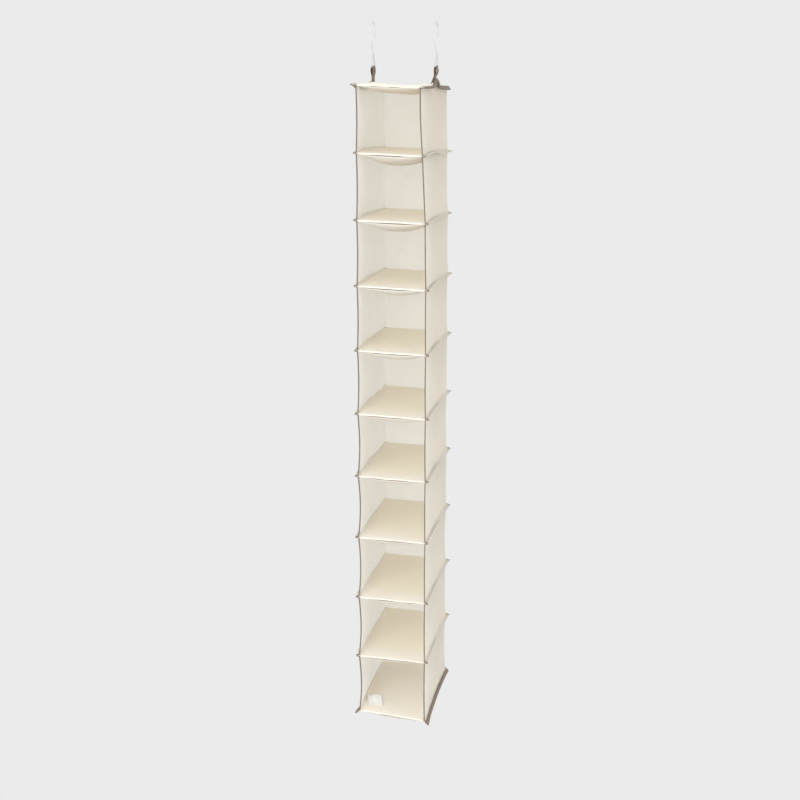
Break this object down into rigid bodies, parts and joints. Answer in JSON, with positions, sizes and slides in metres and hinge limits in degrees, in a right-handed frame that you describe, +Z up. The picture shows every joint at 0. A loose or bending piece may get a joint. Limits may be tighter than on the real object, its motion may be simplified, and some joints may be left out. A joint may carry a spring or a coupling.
{
  "type": "hanging shoe organizer",
  "caption": "Tall narrow hanging fabric shoe organizer: a stack of open-front bays with stiffened shelves and bound edges, on two wire hooks that fold over a closet rod.",
  "frame": {"origin": "on the axis of the closet rod, midway between the two hooks", "axes": "+X to the right along the rod, seen from the open front; -Y out of the open front; +Z up"},
  "size_m": [0.1658, 0.307, 1.5348],
  "materials": {
    "hook_wire": "white coated wire",
    "binding_tape": "flat woven brown tape",
    "shelf_fabric": "cream cloth over a brown board",
    "lining_fabric": "thin cream cloth",
    "wall_fabric": "pale cream cloth that lets light through",
    "board": "plain brown board",
    "label_cloth": "blank white label"
  },
  "bodies": {
    "left_hook": {"left_hook": "hook_wire"},
    "right_hook": {"right_hook": "hook_wire"},
    "top": {"top_panel_fabric": "shelf_fabric", "top_panel_board": "board", "top_panel_lining": "lining_fabric", "left_hanging_strap": "binding_tape", "right_hanging_strap": "binding_tape", "top_side_bindings": "binding_tape", "bay_01_wall_wrap": "wall_fabric", "bay_01_front_bindings": "binding_tape"},
    "shelf_1": {"shelf_01_fabric": "shelf_fabric", "shelf_01_board": "board", "shelf_01_lining": "lining_fabric", "bay_02_wall_wrap": "wall_fabric", "bay_02_front_bindings": "binding_tape"},
    "shelf_2": {"shelf_02_fabric": "shelf_fabric", "shelf_02_board": "board", "shelf_02_lining": "lining_fabric", "bay_03_wall_wrap": "wall_fabric", "bay_03_front_bindings": "binding_tape"},
    "shelf_3": {"shelf_03_fabric": "shelf_fabric", "shelf_03_board": "board", "shelf_03_lining": "lining_fabric", "bay_04_wall_wrap": "wall_fabric", "bay_04_front_bindings": "binding_tape"},
    "shelf_4": {"shelf_04_fabric": "shelf_fabric", "shelf_04_board": "board", "shelf_04_lining": "lining_fabric", "bay_05_wall_wrap": "wall_fabric", "bay_05_front_bindings": "binding_tape"},
    "shelf_5": {"shelf_05_fabric": "shelf_fabric", "shelf_05_board": "board", "shelf_05_lining": "lining_fabric", "bay_06_wall_wrap": "wall_fabric", "bay_06_front_bindings": "binding_tape"},
    "shelf_6": {"shelf_06_fabric": "shelf_fabric", "shelf_06_board": "board", "shelf_06_lining": "lining_fabric", "bay_07_wall_wrap": "wall_fabric", "bay_07_front_bindings": "binding_tape"},
    "shelf_7": {"shelf_07_fabric": "shelf_fabric", "shelf_07_board": "board", "shelf_07_lining": "lining_fabric", "bay_08_wall_wrap": "wall_fabric", "bay_08_front_bindings": "binding_tape"},
    "shelf_8": {"shelf_08_fabric": "shelf_fabric", "shelf_08_board": "board", "shelf_08_lining": "lining_fabric", "bay_09_wall_wrap": "wall_fabric", "bay_09_front_bindings": "binding_tape"},
    "shelf_9": {"shelf_09_fabric": "shelf_fabric", "shelf_09_board": "board", "shelf_09_lining": "lining_fabric", "bay_10_wall_wrap": "wall_fabric", "bay_10_front_bindings": "binding_tape"},
    "bottom": {"bottom_panel_fabric": "shelf_fabric", "bottom_panel_board": "board", "bottom_panel_lining": "lining_fabric", "bottom_side_bindings": "binding_tape", "care_label": "label_cloth"}
  },
  "joints": [
    {"name": "left_hook_pivot", "type": "hinge", "parent": "left_hook", "child": "top", "pos_m": [-0.068, 0, -0.074], "axis": [0, 1, 0], "range_deg": [-105, 0]},
    {"name": "right_hook_pivot", "type": "hinge", "parent": "top", "child": "right_hook", "pos_m": [0.068, 0, -0.074], "axis": [0, 1, 0], "range_deg": [-90, 0]},
    {"name": "bay_01_fold", "type": "slide", "parent": "top", "child": "shelf_1", "axis": [0, 0, 1], "range_m": [0, 0.123], "deforming": ["bay_01_wall_wrap", "bay_01_front_bindings", "top_panel_lining"]},
    {"name": "bay_02_fold", "type": "slide", "parent": "shelf_1", "child": "shelf_2", "axis": [0, 0, 1], "range_m": [0, 0.123], "deforming": ["bay_02_wall_wrap", "bay_02_front_bindings", "shelf_01_lining"]},
    {"name": "bay_03_fold", "type": "slide", "parent": "shelf_2", "child": "shelf_3", "axis": [0, 0, 1], "range_m": [0, 0.123], "deforming": ["bay_03_wall_wrap", "bay_03_front_bindings", "shelf_02_lining"]},
    {"name": "bay_04_fold", "type": "slide", "parent": "shelf_3", "child": "shelf_4", "axis": [0, 0, 1], "range_m": [0, 0.123], "deforming": ["bay_04_wall_wrap", "bay_04_front_bindings", "shelf_03_lining"]},
    {"name": "bay_05_fold", "type": "slide", "parent": "shelf_4", "child": "shelf_5", "axis": [0, 0, 1], "range_m": [0, 0.123], "deforming": ["bay_05_wall_wrap", "bay_05_front_bindings", "shelf_04_lining"]},
    {"name": "bay_06_fold", "type": "slide", "parent": "shelf_5", "child": "shelf_6", "axis": [0, 0, 1], "range_m": [0, 0.123], "deforming": ["bay_06_wall_wrap", "bay_06_front_bindings", "shelf_05_lining"]},
    {"name": "bay_07_fold", "type": "slide", "parent": "shelf_6", "child": "shelf_7", "axis": [0, 0, 1], "range_m": [0, 0.123], "deforming": ["bay_07_wall_wrap", "bay_07_front_bindings", "shelf_06_lining"]},
    {"name": "bay_08_fold", "type": "slide", "parent": "shelf_7", "child": "shelf_8", "axis": [0, 0, 1], "range_m": [0, 0.123], "deforming": ["bay_08_wall_wrap", "bay_08_front_bindings", "shelf_07_lining"]},
    {"name": "bay_09_fold", "type": "slide", "parent": "shelf_8", "child": "shelf_9", "axis": [0, 0, 1], "range_m": [0, 0.123], "deforming": ["bay_09_wall_wrap", "bay_09_front_bindings", "shelf_08_lining"]},
    {"name": "bay_10_fold", "type": "slide", "parent": "shelf_9", "child": "bottom", "axis": [0, 0, 1], "range_m": [0, 0.123], "deforming": ["bay_10_wall_wrap", "bay_10_front_bindings", "shelf_09_lining"]}
  ]
}
